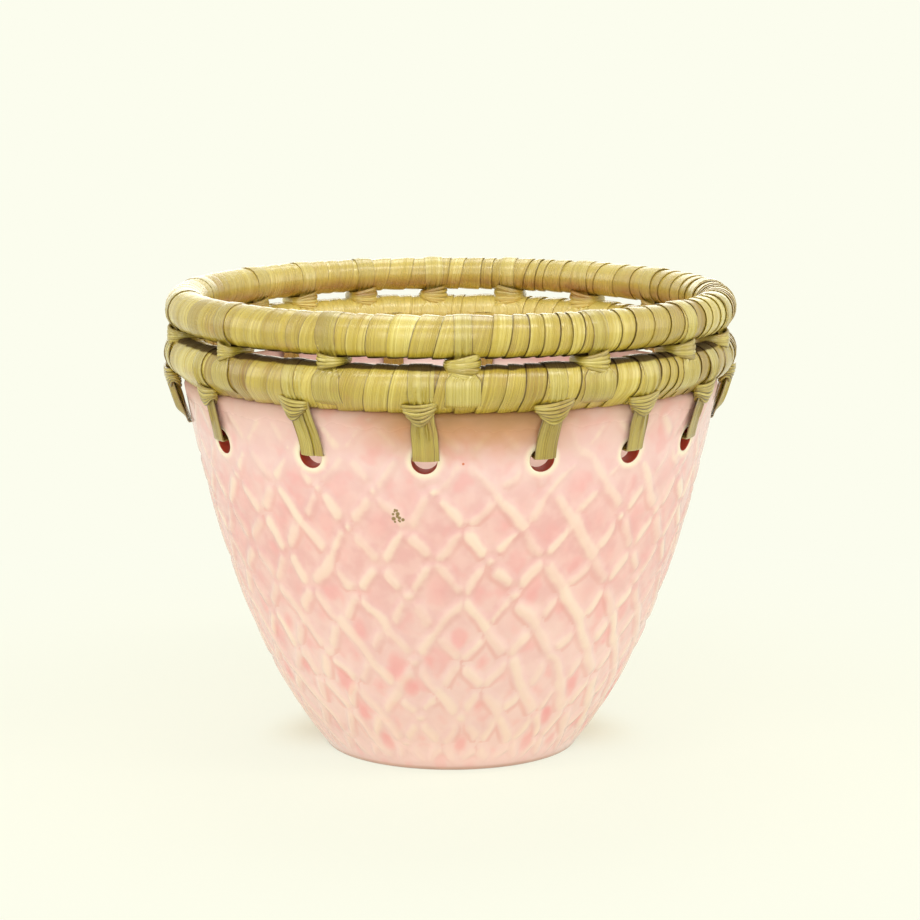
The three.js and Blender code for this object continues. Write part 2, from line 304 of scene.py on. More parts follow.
def palm_finish(name, shaded, edge_shade, darkest, dark, light, lightest):
    """The leaf in four tones, with painted shade between the hoops and along its edges by the shares given.
    """
    leaf = Finish(name, Specular_IOR_Level=0.85, Coat_Roughness=0.24)
    across, along, sort = leaf.attribute("strip", "Vector").parts()
    edge, cover, tone = leaf.attribute("edges", "Vector").parts()
    veins = leaf.noise(leaf.join(across * 3.0, along * 0.012, sort), detail=1.0).step(0.36, 0.64)
    streaks = leaf.noise(leaf.join(across * 0.5, along * 0.02, sort + 7.0))
    stretches = leaf.noise(leaf.join(along * 0.05, sort, across * 0.05))
    blotches = leaf.noise(leaf.place(), 75.0, 3.0, 0.6)
    shade = veins * 0.11 + streaks * 0.20 + stretches * 0.37 + tone * 0.32 + 0.02
    plain = leaf.node("ValToRGB", {0: shade}, stops=[
        (0.25, darkest), (0.42, dark), (0.58, light), (0.80, lightest)])
    # Painted shade, with some dirt, darkens the leaf where the next turn covers this one
    depth = leaf.noise(leaf.join(sort * 2.9, 0.0, 0.0), detail=1.0)
    crevice = (cover - depth * 0.4).fall(-0.08, 0.14) * cover.step(-0.6, -0.1)
    # The gap rises towards the back, so the level of a point is counted without that rise
    x, y, level = leaf.place().parts()
    share = y * (0.5 / lower_hoop.radius) + 0.5
    level = level - share * share * HOOP_GAP_RISE
    radius = leaf.join(x, y, 0.0).distance()
    # Painted shade lies on the outer side of the gap, where the upper hoop keeps the light off the lower
    # one
    # Painted shade in the hoops' gap is matt, and a share of dark metal takes the white sheen off the leaf
    from_gap = level - HOOP_GAP_HEIGHT + (leaf.noise(leaf.place(), 160.0) - 0.5) * 1.2 * MM
    gap_shade = from_gap.step(-2.10 * MM, -1.65 * MM) * from_gap.fall(0.95 * MM, 1.50 * MM)
    gap_shade = gap_shade * radius.step(lower_hoop.radius - 0.6 * MM, lower_hoop.radius + 0.4 * MM) * shaded
    # Painted warm shade, in patches, on the lower half of each hoop on the inside
    low_half = level.step(HOOP_GAP_HEIGHT - 0.3 * MM, HOOP_GAP_HEIGHT + 0.3 * MM)
    low_half = low_half * level.fall(upper_hoop.height - 3.6 * MM, upper_hoop.height + 0.2 * MM)
    low_half = low_half + level.fall(lower_hoop.height - 3 * MM, lower_hoop.height + 1 * MM)
    underside_shade = low_half * radius.fall(lower_hoop.radius - 3.5 * MM, lower_hoop.radius - 1.5 * MM)
    # Painted light makes the far side paler, most on the lower hoop, but not where the painted shade lies
    far_side_light = y.step(0.0, 50 * MM) * (1 - underside_shade)
    far_side_light = far_side_light * (level.fall(HOOP_GAP_HEIGHT - 1 * MM, HOOP_GAP_HEIGHT) * 0.45 + 0.30)
    colour = leaf.layered(
        plain,
        (172, 118, 52, blotches.step(0.55, 0.80) * 0.5),
        (84, 60, 20, crevice * (depth.step(0.30, 0.60) * 0.7 + 0.15)),
        # Painted shade along each leaf's edge, where it lies over the turn or pleat beneath
        (116, 88, 34, edge.fall(0.0, 0.26) * edge_shade),
        (66, 42, 18, gap_shade),
        (168, 112, 34, underside_shade * blotches.step(0.25, 0.75) * 0.75),
        (242, 220, 116, far_side_light),
    )
    return leaf.paint(
        Base_Color=colour,
        Roughness=0.44 - veins * 0.10 + gap_shade * 0.5,
        Metallic=gap_shade * 0.8,
        Coat_Weight=streaks.step(0.20, 0.55) * 0.85 * (1 - gap_shade),
        Normal=leaf.bump(veins * 0.8 + streaks * 0.2, 0.16 * MM, 0.9),
    )


hoop_palm = palm_finish("hoop palm leaf", 0.9, 0.3, rgb(144, 108, 22), rgb(171, 144, 34),
                        rgb(197, 173, 54), rgb(234, 219, 120))
TIE_TONES = rgb(132, 102, 28), rgb(162, 138, 42), rgb(188, 168, 62), rgb(222, 208, 120)
tie_palm = palm_finish("tie palm leaf", 0.0, 0.8, *TIE_TONES)
lashing_palm = palm_finish("lashing palm leaf", 0.9, 0.8, *TIE_TONES)
print("palm finishes:", hoop_palm.name, "and", tie_palm.name, "and", lashing_palm.name)

# %% [markdown]
# ## The finish of cane
# The canes are hidden inside their windings, but they are real, so they get a plain dry wood: pale
# brown, with long pores round the hoop. The pores come from noise that is squeezed across the hoop.

# %% Mix the cane
wood = Finish("cane", Specular_IOR_Level=0.3)
x, y, z = wood.place().parts()
pores = wood.noise(wood.join(x * 60.0, y * 60.0, z * 900.0), detail=3.0)
cane = wood.paint(
    Base_Color=wood.layered(rgb(150, 112, 66), (192, 156, 100, pores)),
    Roughness=pores * 0.2 + 0.6,
    Normal=wood.bump(pores, 0.1 * MM),
)
print("cane nodes:", len(cane.node_tree.nodes))

# %% [markdown]
# ## The finish of the glaze
# A runny gloss glaze pulls away from what stands proud and pools in what lies deep. On this pot the
# ribs of the lattice come out cream, the grooves beside them deep pink, and the flats between them a
# soft pink that changes a little from place to place. The deep pink lies only beside a rib's lower
# side, in patches: it is partly pooled glaze and partly painted shade under the rib. The wall carries
# measures for that: `rib` is the distance in millimetres inside a rib's edge, below zero outside it,
# and `hole` is the distance from a hole's edge, below zero down its bore. A distance can be cut off
# sharply at any value, so the colours end crisply even though the points of the mesh lie almost a
# millimetre apart. Besides, `below` tells the lower side of a rib from its upper one, `bar_tone` says
# how pale the rib is, `pit` how deep a place lies in a pool of glaze, and `side` on which face of the
# wall it is.

# %% Mix the pinks and the cream
coat = Finish("pink glaze", Specular_IOR_Level=0.5, Coat_Roughness=0.06)
rib, hole, below, bar_tone, pit, side = [
    coat.attribute(name) for name in ("rib", "hole", "below", "bar_tone", "pit", "side")]
outer = side.fall(1.2, 1.9)
x, y, height = coat.place().parts()
clouds = coat.noise(coat.place(), 45.0, 3.0, 0.55)
mottle = coat.noise(coat.place(), 210.0)
spots = coat.noise(coat.place(), 125.0)
uneven = (mottle - 0.5) * 1.3
low = height.fall(0.020, 0.066)
top_band = height.step(0.070, 0.088)

crest = (rib + uneven).step(-0.65, 0.75) * (bar_tone * 0.65 + 0.35)
# Deep pink beside a rib's lower side, in patches: pooled glaze and painted shade under the rib
groove = rib.step(-2.0, -1.0) * rib.fall(-0.9, 0.1)
groove = groove * below.step(0.0, 0.7) * clouds.step(0.40, 0.62)
cell = rib.fall(-2.0, -0.3)
pool = (pit + uneven).step(0.10, 0.95)

colour = coat.layered(
    rgb(232, 180, 180),
    (239, 197, 194, mottle.step(0.32, 0.68)),
    (243, 210, 204, clouds.step(0.48, 0.72) * 0.6),
    (246, 219, 220, top_band * 0.45 + low * 0.55),
    (240, 166, 170, cell * spots.step(0.50, 0.70) * 0.45),
    (240, 152, 158, pool * (low * 0.42 + 0.22)),
    (228, 158, 154, groove * 0.40 * (1 - top_band * 0.8)),
    (248, 227, 211, crest * (clouds * 0.5 + 0.60) * (1 - low * 0.30)),
    (255, 224, 226, height.fall(0.0025, 0.0120) * 0.6),
    # A thin brown line at the foot's bare, dirty bottom edge, with painted shade where it meets the sheet
    (196, 150, 116, height.fall(0.0004, 0.0016) * 0.6),
    (252, 228, 220, 1 - outer),
)
print("glaze nodes for the lattice:", len(coat.tree.nodes))

# %% [markdown]
# The hoop's shadow is painted on the glaze under it, most of all at the front, and the painted shade is
# darkest and matt right below the lip. A few specks come from the kiln. Each is round as it is seen from
# the front, so its distance is measured with the depth almost taken out. The glaze is pale round the
# holes and doesn't reach down their bores, whose bare clay is painted dark for the shade inside them.

# %% Paint the hoop's shadow on the glaze and finish it
HOOP_SHADOW_MIDDLE = Vector((6, -71, 97)) * MM
SPECK_DEPTH = -3.3
SPECKS = 12
# The hoop's painted shadow, and the darker, matt painted shade right below the lip
near_middle = coat.place().distance(HOOP_SHADOW_MIDDLE).fall(0.014, 0.034)
hoop_shadow = (height + mottle * 0.004).step(0.087, 0.0985) * outer
lip_shade = (height + mottle * 0.003).step(0.0965, 0.1010) * outer
hole_rim = (hole + (clouds - 0.5) * 2.0).fall(0.2, 2.4) * hole.step(-0.25, 0.05)
# Down the bore lies the bare clay, painted dark for the shade inside the hole
bore = hole.fall(-0.3, 0.0)
seen_from_front = coat.join(x, y * 0.05, height)


def speck(red, green, blue, x, z, size):
    """The layer of one round speck, as it is seen at x and z from the front."""
    away = seen_from_front.distance(Vector((x, SPECK_DEPTH, z)) * MM)
    return red, green, blue, away.fall(size * 0.55 * MM, size * MM) * outer * 0.9


draw = random.Random(8)
specks = [speck(128, 106, 40, draw.uniform(-14.3, -11.7), draw.uniform(72.0, 75.4),
                draw.uniform(0.30, 0.70)) for _ in range(SPECKS)]
specks.append(speck(206, 108, 62, 3.2, 87.4, 0.45))
colour = coat.layered(
    colour,
    (193, 136, 86, hoop_shadow * (near_middle * 0.70 + clouds * 0.45)),
    (152, 116, 66, lip_shade * (near_middle * 0.28 + 0.30)),
    *specks,
    (254, 244, 218, hole_rim * 0.9),
    (168, 52, 26, bore),
)
peel = coat.noise(coat.place(), 900.0, 1.0)
glaze = coat.paint(
    Base_Color=colour,
    Roughness=mottle * 0.12 + 0.16 + bore * 0.4 + lip_shade * 0.4,
    Coat_Weight=(crest * 0.15 + 0.2) * (1 - bore) * (1 - lip_shade),
    Normal=coat.bump(rib.step(-1.5, 1.2) + peel * 0.05, 0.35 * MM, 0.2),
)
print("glaze nodes:", len(glaze.node_tree.nodes))

# %% [markdown]
# ## Making a piece
# Each piece is shaped as a bmesh, the form in which Blender's modelling operators work. At the end it
# becomes an object at the origin, with its place in its mesh. Sharp corners are marked by their angle,
# so that a leaf's edge stays crisp while its face is smooth.

# %% Turn a bmesh into a piece
SHARP = math.radians(50)


def finished(name, bm, material, slot, *replaced):
    """An object of the mesh, riding on the body and standing for its nodes of the frame."""
    mesh = bpy.data.meshes.new(name)
    bm.to_mesh(mesh)
    bm.free()
    mesh.shade_smooth()
    mesh.set_sharp_from_angle(angle=SHARP)
    mesh.materials.append(material)
    piece = bpy.data.objects.new(name, mesh)
    scene.collection.objects.link(piece)
    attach(piece, "root")
    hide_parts(*replaced)
    return piece


def joined(parts):
    """One bmesh that holds the shapes of several."""
    whole = bmesh.new()
    for part in parts:
        mesh = bpy.data.meshes.new("part")
        part.to_mesh(mesh)
        part.free()
        whole.from_mesh(mesh)
        bpy.data.meshes.remove(mesh)
    return whole


print("corners over", round(math.degrees(SHARP)), "degrees stay sharp")

# %% [markdown]
# ## The pot's outline
# A thrown or cast pot is an outline spun round an axis. This one leans out from a narrow foot in one
# long curve, so a curve with a single handle draws it, as in any drawing program. The curve is measured
# once, because the lattice keeps the same spacing up the slope, and a height would shrink it at the foot.

# %% Draw the outline and measure it
WALL = 4 * MM
FOOT = Vector((34.2, 1.0)) * MM
BELLY = Vector((59.1, 30.7)) * MM
RIM = Vector((71.1 * MM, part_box("pot_body")[1].z - WALL / 2))
OUTLINE_SAMPLES = 2000


def outline(share):
    """Point and direction of the outline's curve."""
    start, end = FOOT.lerp(BELLY, share), BELLY.lerp(RIM, share)
    return start.lerp(end, share), (end - start).normalized()


def lengths_along(points):
    """How far each point of a chain lies from the first, along the chain."""
    steps = ((after - before).length for before, after in zip(points, points[1:]))
    return list(itertools.accumulate(steps, initial=0.0))


outline_points = [outline(sample / OUTLINE_SAMPLES)[0] for sample in range(OUTLINE_SAMPLES + 1)]
outline_lengths = lengths_along(outline_points)
SLOPE = outline_lengths[-1]


def wall_at(slope):
    """Point and outward direction of the wall, at a distance up its slope from the foot."""
    sample = min(bisect.bisect_left(outline_lengths, slope), OUTLINE_SAMPLES)
    point, direction = outline(sample / OUTLINE_SAMPLES)
    return point, Vector((direction.y, -direction.x))


print("the slope is", round(SLOPE / MM, 1), "mm long")

# %% [markdown]
# ## The profile
# The whole section of the pot is one chain of points: under the foot, up the outside, over the lip, down
# the inside and across the floor. The outside gets rows close together, because its lattice is real
# relief. The inside is plain, so its rows are far apart, but for a band that faces the holes.

# %% Chain the points of the section
STRANDS = 28
HALF_ROWS = 11
CELL_STEPS = 14
COLUMNS = STRANDS * CELL_STEPS
ROWS = HALF_ROWS * CELL_STEPS
ROW = SLOPE / ROWS
OUTSIDE, INSIDE, ELSEWHERE = 1, 2, 0
HOLE_DROP = 12.7 * MM
HOLE_RADIUS = 3.1 * MM
PATCH = 4.4 * MM
hole_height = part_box("pot_body")[1].z - HOLE_DROP
HOLE_SLOPE = outline_lengths[bisect.bisect_left([point.y for point in outline_points], hole_height)]
PLAIN_ROWS = 8
TOP_ROWS = 5
FLOOR = 5 * MM
LIP_STEPS = 7


def section():
    """Points of the section as (radius, height), each with its side and its distance up the slope."""
    underside = [(0, 1.2), (12, 1.2), (26.6, 1.2), (27.4, 0.9), (28.1, 0.15), (28.6, 0), (33.0, 0),
                 (33.7, 0.15), (34.05, 0.55)]
    for radius, height in underside:
        yield Vector((radius, height)) * MM, ELSEWHERE, 0
    for row in range(ROWS + 1):
        yield wall_at(row * ROW)[0], OUTSIDE, row * ROW
    for step in range(1, LIP_STEPS + 1):
        angle = math.pi * step / LIP_STEPS
        centre = RIM - Vector((WALL / 2, 0))
        yield centre + Vector((math.cos(angle), math.sin(angle))) * WALL / 2, ELSEWHERE, SLOPE
    for row in range(ROWS - TOP_ROWS, 0, -1):
        point, outwards = wall_at(row * ROW)
        inner = point - outwards * WALL
        faces_hole = abs(row * ROW - HOLE_SLOPE) < PATCH + 2 * ROW
        if inner.y > 2 * FLOOR and (faces_hole or row % PLAIN_ROWS == 0):
            yield inner, INSIDE, row * ROW
    for radius, height in [(34.8, 8.4), (33.2, 6.6), (31, 5.4), (28, 5), (14, 5), (0, 5)]:
        yield Vector((radius, height)) * MM, INSIDE, 0


print("points in the section:", len(list(section())))

# %% [markdown]
# The spin operator does what a potter's wheel does: it carries the chain round the axis and joins each
# step to the one before. The points on the axis come out once for each step, so they are merged.

# %% Spin the section into a pot
RELIEF_TURN = math.radians(3)
MERGE = 0.001 * MM


def spin(bm, steps):
    """Spins the whole bmesh once round the upright axis."""
    bmesh.ops.spin(bm, geom=bm.verts[:] + bm.edges[:], cent=(0, 0, 0), axis=(0, 0, 1),
                   angle=2 * math.pi, steps=steps, use_merge=True)


def spun_pot():
    bm = bmesh.new()
    side_layer = bm.verts.layers.int.new("side")
    slope_layer = bm.verts.layers.float.new("slope")
    chain = []
    for point, side, slope in section():
        vert = bm.verts.new(around(point.x, point.y, RELIEF_TURN))
        vert[side_layer], vert[slope_layer] = side, slope
        chain.append(vert)
    for pair in zip(chain, chain[1:]):
        bm.edges.new(pair)
    spin(bm, COLUMNS)
    bmesh.ops.remove_doubles(bm, verts=bm.verts[:], dist=MERGE)
    return bm


pot = spun_pot()
print("spun", len(pot.verts), "points; open edges:", sum(edge.is_boundary for edge in pot.edges))

# %% [markdown]
# ## The lattice
# Strands climb the wall both ways and cross in diamonds. In the mould they were carved by hand: at a
# crossing, one strand runs over and the other stops short of it, or both stop and leave a small boss.
# Each stretch of strand is a capsule, a line with a round end, because the distance to a capsule is
# one short formula. The nearest capsule gives `rib`, and everything else is worked out from it.

# %% Chances that stay the same each time
@functools.lru_cache(maxsize=None)
def chance(*key):
    """A number from 0 to 1 that belongs to its key."""
    return random.Random(repr(key)).random()


def between(low, high, *key):
    return low + (high - low) * chance(*key)


print("the chance that belongs to 1:", round(chance(1), 3))

# %% Where two strands cross
HALF_ROW_MM = SLOPE / HALF_ROWS / MM
# How likely a strand is bold, how likely it then runs over another, and how likely a knot is
BOLD_LINES = {"falling": 0.40, "rising": 0.18}
OVER_WHEN_BOLD = 0.65
OVER_OTHERWISE = 0.08
OVER_WHEN_LOW = 0.30
LOW_ROWS = 5
KNOT = 0.52


def runs_over(family, line, other):
    bold = chance("bold", family, line % STRANDS) < BOLD_LINES[family]
    share = OVER_WHEN_BOLD if bold else OVER_OTHERWISE
    if family == "falling" and line - other <= LOW_ROWS:
        share += OVER_WHEN_LOW
    return chance("over", family, line % STRANDS, other - line) < share


def crossing(rising, falling):
    """What is where two strands cross: one of them over the other, a knot, or neither."""
    if runs_over("falling", falling, rising):
        return "falling"
    if runs_over("rising", rising, falling):
        return "rising"
    return "knot" if chance("knot", rising % STRANDS, falling - rising) < KNOT else "open"


print("one strand's crossings:", ", ".join(crossing(0, falling) for falling in range(HALF_ROWS)))

# %% [markdown]
# A stretch of a strand runs from one crossing to the next. It is a little bowed and slanted, it gets
# wider or narrower on its way, and it stops short where the other strand runs over it or a knot lies.

# %% One stretch of a strand
# Half widths, and how far a strand stops from each kind of crossing, in millimetres
WIDTHS = {"falling": (0.9, 1.6), "rising": (0.7, 1.35)}
STOPS = {"over": (2.0, 3.4), "knot": (1.9, 3.2), "open": (0.7, 2.4)}
BOW = 0.7
SLANT = 1.3
# No rib is wider than this share of a diamond, and none stops further off than that of its length
WIDEST_RIB = 0.17
WIDEST_STOP = 0.27


@functools.lru_cache(maxsize=None)
def stretch_shape(family, line, stretch):
    """Widths, bow and slant of a stretch, and how far it stops from the crossing at each end."""
    key = (family, line % STRANDS, stretch - line)
    stops = []
    for end in (stretch, stretch + 1):
        over = crossing(line, end) if family == "rising" else crossing(end, line)
        stop = between(*STOPS[over if over in STOPS else "over"], "stop", end - stretch, *key)
        stops.append(None if over == family else stop)
    ends = [between(*WIDTHS[family], "width", end, *key) for end in (0, 1)]
    return ends, between(-BOW, BOW, "bow", *key), between(-SLANT, SLANT, "slant", *key), stops


def stretch_depth(family, line, stretch, along, away, run, spacing):
    """How deep a point lies inside one stretch of a strand, in millimetres, and the stretch's tone."""
    widths, bow, slant, stops = stretch_shape(family, line, stretch)
    share = along - stretch
    inner = min(max(share, 0), 1)
    half_width = min(widths[0] + (widths[1] - widths[0]) * inner, WIDEST_RIB * spacing)
    away += bow * math.sin(math.pi * inner) + slant * (inner - 0.5) * math.sin(math.pi * inner) * 2
    ends = [-half_width if stop is None else min(stop, WIDEST_STOP * run) for stop in stops]
    past_start = ends[0] + half_width - share * run
    past_end = share * run - (run - ends[1] - half_width)
    depth = half_width - math.hypot(max(past_start, past_end, 0), away)
    return depth, chance("tone", family, line % STRANDS, stretch - line)


print("half widths of one stretch:", [round(width, 2) for width in stretch_shape("rising", 0, 0)[0]], "mm")

# %% [markdown]
# A point asks only what may reach it: two stretches of the nearest strand each way, and the knot at the
# nearest crossing. The pools of glaze lie anywhere in the cells between, some deep and some shallow.

# %% Distance to the nearest rib, and the pools
KNOT_SIZE = 1.1
WIDEST_KNOT = 0.11
NO_RIB = -4.0


def rib_at(x, y, radius):
    """Depth inside the nearest rib at a place of the lattice, counted in cells across and half rows up,
    the tone of that rib, and whether the place is below it."""
    cell = 2 * math.pi * radius / STRANDS
    spacing = 1 / math.hypot(1 / cell, 0.5 / HALF_ROW_MM)
    run = math.hypot(cell / 2, HALF_ROW_MM)
    found = [(NO_RIB, 0, 0)]
    for family, across, along in (("rising", x - y / 2, x + y / 2), ("falling", x + y / 2, x - y / 2)):
        line = round(across)
        away = (across - line) * spacing
        stretch = math.floor(along)
        neighbour = stretch - 1 if along - stretch < 0.5 else stretch + 1
        below = 1 if (away > 0) == (family == "rising") else -1
        for part in (stretch, neighbour):
            found.append((*stretch_depth(family, line, part, along, away, run, spacing), below))
    rising, falling = round(x - y / 2), round(x + y / 2)
    if crossing(rising, falling) == "knot":
        middle_x, middle_y = (rising + falling) / 2, falling - rising
        distance = math.hypot((x - middle_x) * cell, (y - middle_y) * HALF_ROW_MM)
        key = (rising % STRANDS, middle_y)
        size = min(KNOT_SIZE, WIDEST_KNOT * spacing) * between(0.75, 1.15, "size", *key)
        found.append((size - distance, between(0.4, 1, "boss", *key), 1 if y < middle_y else -1))
    return max(found)


def pit_at(x, y):
    """How deep a place lies in the pool of glaze of its cell, from 0 to 1."""
    rising, falling = x - y / 2, x + y / 2
    first, second = math.floor(rising), math.floor(falling)
    key = (first % STRANDS, second - first)
    away = math.hypot(rising - first - between(0.28, 0.72, "pit rising", *key),
                      falling - second - between(0.28, 0.72, "pit falling", *key))
    return max(1 - away / between(0.28, 0.50, "pit size", *key), 0) * between(0.1, 1.5, "pit", *key)


print("a rib's middle lies", round(rib_at(0.25, 0.5, 60)[0], 2), "mm inside its edge")

# %% [markdown]
# The wall is now carved. A point moves inwards by what its `rib` says: not at all on a rib, most in the
# groove beside it, and less on the flat. Low noise also shifts the points along the wall, so that the
# strands wander as a hand carves them. The relief dies out at the foot, under the hoops and round holes.

# %% Carve the wall
RECESS = 0.50 * MM
RIB_FLANK = (-1.3, 1.1)
GROOVE = 0.10 * MM
GROOVE_AT, GROOVE_WIDTH = -0.9, 0.7
WANDER = 1.2 * MM
WANDER_SIZE = 22 * MM
WOBBLE = 0.6
WOBBLE_SIZE = 7 * MM
DRIFT_SEED = 4
PLAIN_FOOT = 5.0 * MM
TOP_FADE = (74 * MM, 90 * MM)
TOP_RELIEF = 0.60
HOLE_FADE = (0.8 * MM, 4.0 * MM)
NEAR_HOLES = 12 * MM
DEEPEST, FARTHEST = -3.0, 9.0
hole_angles = [middle_angle(node) for node in lashing_nodes]


def smooth(value, low, high):
    share = min(max((value - low) / (high - low), 0), 1)
    return share * share * (3 - 2 * share)


def hole_gap(angle, slope, radius):
    """Distance from the edge of the nearest hole, over the wall."""
    return min(math.hypot(math.remainder(angle - place, 2 * math.pi) * radius, slope - HOLE_SLOPE)
               for place in hole_angles) - HOLE_RADIUS


noise.seed_set(DRIFT_SEED)
side_layer = pot.verts.layers.int["side"]
slope_layer = pot.verts.layers.float["slope"]
rib_layer, hole_layer, below_layer, tone_layer, pit_layer = [
    pot.verts.layers.float.new(name) for name in ("rib", "hole", "below", "bar_tone", "pit")]
for vert in pot.verts:
    vert[rib_layer], vert[hole_layer] = DEEPEST, FARTHEST
    if vert[side_layer] != OUTSIDE:
        continue
    angle, slope = angle_of(vert.co), vert[slope_layer]
    point, outwards = wall_at(slope)
    gap = FARTHEST * MM
    if abs(slope - HOLE_SLOPE) < NEAR_HOLES:
        gap = hole_gap(angle, slope, point.x)
    cells = (angle - RELIEF_TURN) / (2 * math.pi) * STRANDS
    rows = slope / MM / HALF_ROW_MM
    depth, vert[tone_layer], vert[below_layer] = rib_at(cells, rows, point.x / MM)
    vert[pit_layer] = min(pit_at(cells, rows), 1)
    clear = smooth(gap, *HOLE_FADE)
    shown = smooth(slope, 0.8 * MM, PLAIN_FOOT) * clear
    shown *= 1 - (1 - TOP_RELIEF) * smooth(point.y, *TOP_FADE)
    shown *= 1 - smooth(slope, SLOPE - 4 * MM, SLOPE - 1 * MM)
    depth_below = RECESS * (1 - smooth(depth, *RIB_FLANK))
    depth_below += GROOVE * math.exp(-((depth - GROOVE_AT) / GROOVE_WIDTH) ** 2)
    drift = noise.noise_vector(vert.co / WANDER_SIZE) + noise.noise_vector(vert.co / WOBBLE_SIZE) * WOBBLE
    loose = clear * smooth(slope, 0, 2 * PLAIN_FOOT) * (1 - smooth(slope, SLOPE - 8 * MM, SLOPE))
    point = wall_at(slope + drift.z * WANDER * loose)[0] - outwards * depth_below * shown
    vert.co = around(point.x, point.y, angle + drift.x * WANDER * loose / point.x)
    vert[rib_layer] = max(min(depth, 2.0) - (1 - shown) * 1.6, DEEPEST)
    vert[hole_layer] = min(gap / MM, FARTHEST)
print("carved", sum(vert[side_layer] == OUTSIDE for vert in pot.verts), "points")

# %% [markdown]
# ## The holes
# A Boolean could drill them, but it leaves ragged faces round each edge, and a glazed edge is round and
# catches the light. So a patch of faces is taken out of both sides of the wall, and its edge is
# extruded ring by ring: onto the hole's circle, over its rounded edge and down the bore to the inside.

# %% Open a hole in the wall
# Radius and depth of each ring in millimetres, from the face of the wall to the inside
HOLE_RINGS = [(4.1, 0.0), (3.65, 0.02), (3.36, 0.12), (3.17, 0.34), (3.1, 0.75), (3.1, 2.0), (3.1, 3.25),
              (3.17, 3.66), (3.36, 3.88), (3.7, 3.98)]
BORE = (0.3, 3.6)


def face_place(face):
    """Side, angle and distance up the slope of a face."""
    sides = {vert[side_layer] for vert in face.verts}
    slope = sum(vert[slope_layer] for vert in face.verts) / len(face.verts)
    return (sides.pop() if len(sides) == 1 else ELSEWHERE), angle_of(face.calc_center_median()), slope


def open_hole(bm, faces, place):
    point, outwards = wall_at(HOLE_SLOPE)
    centre = around(point.x, point.y, place)
    out = around(outwards.x, outwards.y, place)
    sideways = Vector((math.cos(place), math.sin(place), 0))
    upwards = out.cross(sideways)
    bmesh.ops.delete(bm, geom=faces, context="FACES")
    loops = {OUTSIDE: [], INSIDE: []}
    for edge in bm.edges:
        if edge.is_boundary:
            loops[edge.verts[0][side_layer]].append(edge)
    ring = loops[OUTSIDE]
    for radius, depth in HOLE_RINGS:
        made = bmesh.ops.extrude_edge_only(bm, edges=ring)["geom"]
        new = {item for item in made if isinstance(item, bmesh.types.BMVert)}
        ring = [item for item in made if isinstance(item, bmesh.types.BMEdge)
                and new.issuperset(item.verts)]
        for vert in new:
            offset = vert.co - centre
            turn = math.atan2(offset.dot(upwards), offset.dot(sideways))
            reach = Vector((math.cos(turn), math.sin(turn))) * radius * MM
            sagging = reach.x ** 2 / (2 * point.x)
            vert.co = centre + sideways * reach.x + upwards * reach.y - out * (depth * MM + sagging)
            in_bore = BORE[0] <= depth <= BORE[1]
            vert[hole_layer] = -depth if in_bore else radius - HOLE_RADIUS / MM
    bmesh.ops.bridge_loops(bm, edges=ring + loops[INSIDE])


patches = {place: [] for place in hole_angles}
for face in pot.faces:
    side, angle, slope = face_place(face)
    if side == ELSEWHERE or abs(slope - HOLE_SLOPE) > PATCH:
        continue
    for place in hole_angles:
        if abs(math.remainder(angle - place, 2 * math.pi)) * wall_at(HOLE_SLOPE)[0].x < PATCH:
            patches[place].append(face)
for place, faces in patches.items():
    open_hole(pot, faces, place)
bmesh.ops.recalc_face_normals(pot, faces=pot.faces[:])
print("holes:", len(patches), "with open edges:", sum(edge.is_boundary for edge in pot.edges))

# %% [markdown]
# The wall keeps its measures as it becomes a mesh, because each layer of a bmesh turns into an attribute
# of the same name. The glaze reads them there.

# %% Finish the pot
glazed_pot = finished("glazed_pot", pot, glaze, "glaze", "pot_body")
print("the pot has", sum(len(face.vertices) - 2 for face in glazed_pot.data.polygons), "triangles")

# %% [markdown]
# ## The windings
# The strip round a hoop is one long leaf after another, wound tightly so that each turn covers the edge
# of the turn before. No two turns show the same width. A flat grid is the strip laid out on the bench:
# its length is then wound round the tube and along the hoop by moving its points, and it is given its
# thickness last. The list of shares crowds the points at the two edges, where the shadow lines are.

# %% Lay out a strip and put its points in place
LEAF = 0.28 * MM


def strip_layers(bm):
    """The layers for a point's place on its strip and for its distances from the leaf's edges."""
    return [bm.verts.layers.float_vector.new(name) for name in ("strip", "edges")]


def laid_strip(rows, shares, put):
    """A grid of leaf: put(row, share) gives each point, its place on the strip and its edges."""
    bm = bmesh.new()
    strip_layer, edges_layer = strip_layers(bm)
    grid = bmesh.ops.create_grid(bm, x_segments=len(shares) - 1, y_segments=rows, size=0.5)
    for vert in grid["verts"]:
        share = shares[round((vert.co.x + 0.5) * (len(shares) - 1))]
        row = round((vert.co.y + 0.5) * rows)
        vert.co, vert[strip_layer], vert[edges_layer] = put(row, share)
    return bm


def thickened(bm):
    """The strip with its real thickness, laid on the side that its faces look away from."""
    bm.normal_update()
    bmesh.ops.solidify(bm, geom=bm.faces[:], thickness=LEAF)
    return bm


print("a leaf is", round(LEAF / MM, 2), "mm thick")

# %% [markdown]
# Each turn starts where the one before has its edge, and its width is drawn by chance. The strip rises
# over the edge that it covers, as a shingle does. A few turns after one another come from the same leaf,
# so they share a part of their tone.

# %% Wind a hoop
TURNS = 92
TURN_STEPS = 24
COVERED = 0.74
STRIP_SHARES = [0, 0.02, 0.06, 0.14, 0.28, 0.43, 0.57, 0.67, COVERED, 0.84, 1]
LEAF_CROWN = 0.1 * MM
NARROWEST = 0.6 * MM
HIDDEN_START = math.radians(215)
SHINGLE = 0.50 * MM
SHINGLE_PIVOT = 0.35
SKEW = 1.1 * MM
BATCH = 5


def turn_starts(seed):
    """The angle round the hoop at which each turn starts, closing on the first."""
    draw = random.Random(seed)
    widths = [draw.uniform(0.35, 1.0) + draw.uniform(0.0, 0.9) for _ in range(TURNS)]
    starts = list(itertools.accumulate(widths + widths[:3], initial=0.0))
    return [2 * math.pi * start / starts[TURNS] for start in starts]


